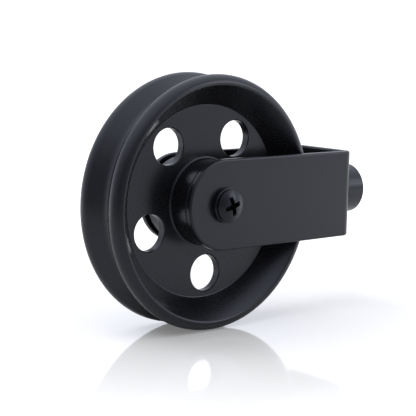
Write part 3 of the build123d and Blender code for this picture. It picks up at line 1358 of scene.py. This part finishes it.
@dataclass
class Studio:
    """White floor and backdrop, soft lights, and a room that is dark on the camera's side.

    Args:
        floor_size: Side of the floor in metres.
        floor_level: Height of the floor in metres.
        room_light: Strength of the light that comes from all round.
        room_tint: Colour of what a reflection shows of the room.
        room_light_tint: Colour of the light that comes from all round.
        dark_side: Direction of the room's dark end in degrees, as for the camera.
        backdrop: Brightness of the background for the camera, enough for white.
        room_level: What a reflection shows halfway between the bright and the dark end.
        room_fall: How much that changes from halfway to an end.
        room_darkest: What a reflection shows at the dark end.
        room_brightest: What a reflection shows at the bright end.
        ceiling_fall: Share of the room's brightness that is missing straight overhead.
        overhead_glow: Soft light straight overhead that reflections show.
        overhead_start: Sine of the height above which that light begins.
        floor_reach: Distance in metres over which the floor, as reflections show it, goes towards the dark
            end, with painted shade in its colour.
        floor_white: Colour of the floor.
        floor_glow: Light that the floor gives off for the camera, so that it shows white.
        floor_roughness: Roughness of the floor's matt part.
        floor_gloss: Share of the floor's surface that mirrors where the wheel stands.
        floor_gloss_reach: Distance in metres from the wheel over which the floor's gloss fades.
        mirror_roughness: Roughness of the part that mirrors.
        far_glow: Light that the floor's far part adds to what the camera and a reflection show of it.
        far_start: Distance in metres at which that light begins.
        far_reach: Distance in metres at which that light is whole.
    """

    floor_size: float = 6.0
    floor_level: float = -40.0 * MM
    room_light: float = 0.45
    room_tint: Colour = (0.9, 0.93, 1.04)
    room_light_tint: Colour = (0.985, 0.99, 1.0)
    dark_side: float = -41.0
    backdrop: float = 1.05
    room_level: float = 1.1
    room_fall: float = 0.88
    room_darkest: float = 0.2
    room_brightest: float = 1.25
    ceiling_fall: float = 0.72
    overhead_glow: float = 1.05
    overhead_start: float = 0.3
    floor_reach: float = 0.29
    floor_white: Colour = (0.885, 0.891, 0.908)
    floor_glow: float = 0.28
    floor_roughness: float = 0.6
    floor_gloss: float = 0.46
    floor_gloss_reach: float = 146.0 * MM
    mirror_roughness: float = 0.06
    far_glow: float = 0.5
    far_start: float = 30.0 * MM
    far_reach: float = 300.0 * MM

    def softboxes(self) -> List[Softbox]:
        """The lights, each large and soft."""
        return [
            Softbox(
                "top_light", azimuth=-100.0, elevation=62.0, distance=0.9, width=1.0, height=0.7,
                radiance=2.6, mirrored=False,
            ),
            Softbox(
                "right_light", azimuth=44.0, elevation=20.0, distance=0.9, width=0.4, height=0.35,
                radiance=2.0,
            ),
        ]

    def towards_dark_side(self, shader: Shader, place: Signal) -> Signal:
        """How far a direction or a point lies towards the room's dark end."""
        dark = tuple(outwards(self.dark_side, 0.0))
        return shader.node("ShaderNodeVectorMath", {"operation": "DOT_PRODUCT"}, {0: place, 1: dark}, "Value")

    def reflected_room(self, towards: Signal) -> Signal:
        """What a reflection shows at eye level, from the room's bright to its dark end."""
        level = self.room_level - towards * self.room_fall
        return level.largest(self.room_darkest).smallest(self.room_brightest)

    def build_world(self) -> None:
        """White for the camera, the room for reflections and plain light for the rest."""
        world = bpy.data.worlds.new("studio")
        bpy.context.scene.world = world
        world.use_nodes = True
        shader = Shader(world.node_tree)
        direction = shader.node("ShaderNodeTexCoord", output="Generated")
        room = self.reflected_room(self.towards_dark_side(shader, direction))
        height = shader.part(direction, "Z")
        overhead = height.between(self.overhead_start, 1.0).eased() * self.overhead_glow
        room = room * (1.0 - height.largest(0.0) * self.ceiling_fall) + overhead
        camera, mirrored = shader.rays("Is Camera Ray"), shader.mirrored_rays()
        plain = (1.0 - camera) * (1.0 - mirrored)
        background = shader.node("ShaderNodeBackground", None, {
            "Color": shader.mix_colour(mirrored, self.room_light_tint, self.room_tint),
            "Strength": camera * self.backdrop + mirrored * room + plain * self.room_light,
        })
        shader.end("ShaderNodeOutputWorld", {"Surface": background})

    def build_floor(self) -> None:
        """Make the pale, slightly glossy floor."""
        shape = bmesh.new()
        bmesh.ops.create_grid(
            shape, x_segments=1, y_segments=1, size=self.floor_size / 2,
            matrix=Matrix.Translation((0.0, 0.0, self.floor_level)),
        )
        floor = loose_object("floor", shape)
        floor.data.materials.append(self.floor_material())

    def floor_material(self) -> bpy.types.Material:
        """Make the floor white, with the object's shadow, near the wheel a soft reflection, and painted shade
        towards the room's dark end in what reflections show of it.

        Returns:
            The floor's material.
        """
        shader, material = new_material("floor_white")
        camera, mirrored = shader.rays("Is Camera Ray"), shader.mirrored_rays()
        place = shader.position()
        away = distance_from_axle(shader, place, Axle.ALONG_Z)
        # Painted shade: what reflections show of the floor darkens towards the room's dark end, in its colour
        # and in its far glow.
        room = self.reflected_room(self.towards_dark_side(shader, place) / self.floor_reach)
        painted_dark_end = mirrored * (1.0 - room / self.room_brightest)
        far = away.between(self.far_start, self.far_reach)
        matt = shader.node("ShaderNodeBsdfPrincipled", None, {
            "Base Color": shader.mix_colour(painted_dark_end, self.floor_white, BLACK),
            "Roughness": self.floor_roughness,
            "Specular IOR Level": 0.0,
            "Emission Color": (*WHITE, 1.0),
            "Emission Strength": camera * self.floor_glow + (camera + mirrored * room) * far * self.far_glow,
        })
        mirror = shader.node("ShaderNodeBsdfAnisotropic", None, {
            "Color": (*WHITE, 1.0), "Roughness": self.mirror_roughness,
        })
        share = (1.0 - away.between(0.0, self.floor_gloss_reach)) * self.floor_gloss * (1.0 - mirrored)
        surface = shader.node("ShaderNodeMixShader", None, {0: share, 1: matt, 2: mirror})
        shader.end("ShaderNodeOutputMaterial", {0: surface})
        return material

    def build(self) -> None:
        """Make the floor, the surroundings and the lights."""
        self.build_world()
        self.build_floor()
        for softbox in self.softboxes():
            softbox.build()


def main() -> None:
    """Dress the frame, build the new pieces and set the studio."""
    logging.basicConfig(level=logging.INFO, format="%(name)s: %(message)s")
    bpy.context.scene.view_settings.view_transform = "Standard"
    wardrobe = Wardrobe.filled()
    wardrobe.dress_nodes(frame["record"], frame["nodes"])
    for piece in (GroovedWheel(), BentFork(), AxleScrew(), ThreadedCoupler()):
        piece.build(wardrobe)
    PhotoCamera().build()
    Studio().build()


if __name__ == "__main__":
    main()
